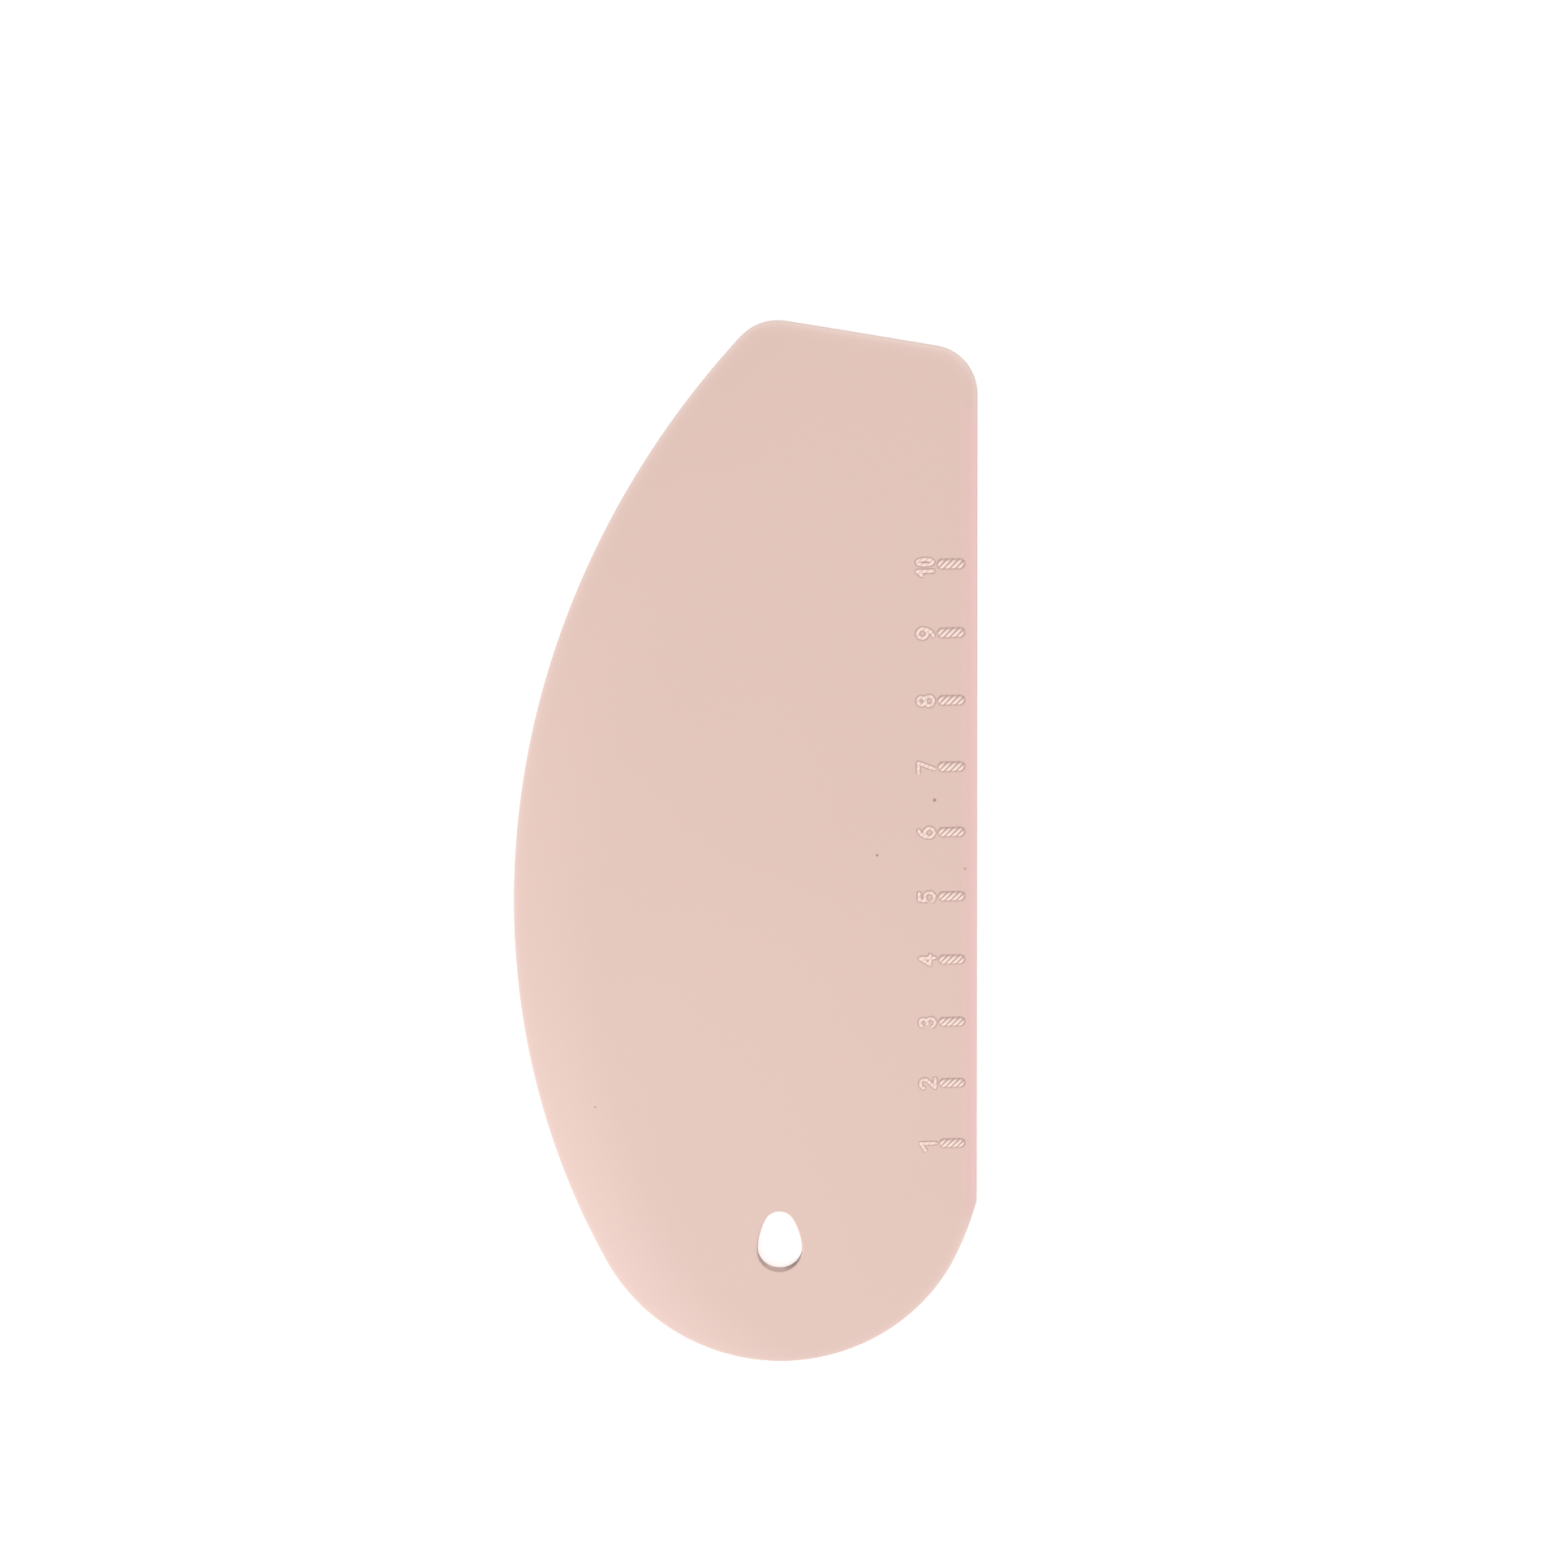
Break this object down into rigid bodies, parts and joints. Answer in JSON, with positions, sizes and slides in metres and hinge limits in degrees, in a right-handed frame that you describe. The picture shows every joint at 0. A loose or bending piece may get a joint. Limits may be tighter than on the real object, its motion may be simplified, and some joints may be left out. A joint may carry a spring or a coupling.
{
  "type": "bowl scraper",
  "caption": "Thin flexible bowl scraper with a curved belly edge, a straight edge with a raised centimetre scale, a round tail and an egg-shaped hanging hole.",
  "frame": {"origin": "middle of the outline's box, on the flat back that the scraper lies on", "axes": "+Z out of the face with the scale, +Y along the straight edge towards the sloped top edge, +X towards the straight edge"},
  "size_m": [0.0706, 0.1618, 0.0018],
  "materials": {
    "polypropylene": "fine matte moulded surface"
  },
  "bodies": {
    "root": {"blade": "polypropylene", "scale_marks": "polypropylene"}
  },
  "joints": []
}
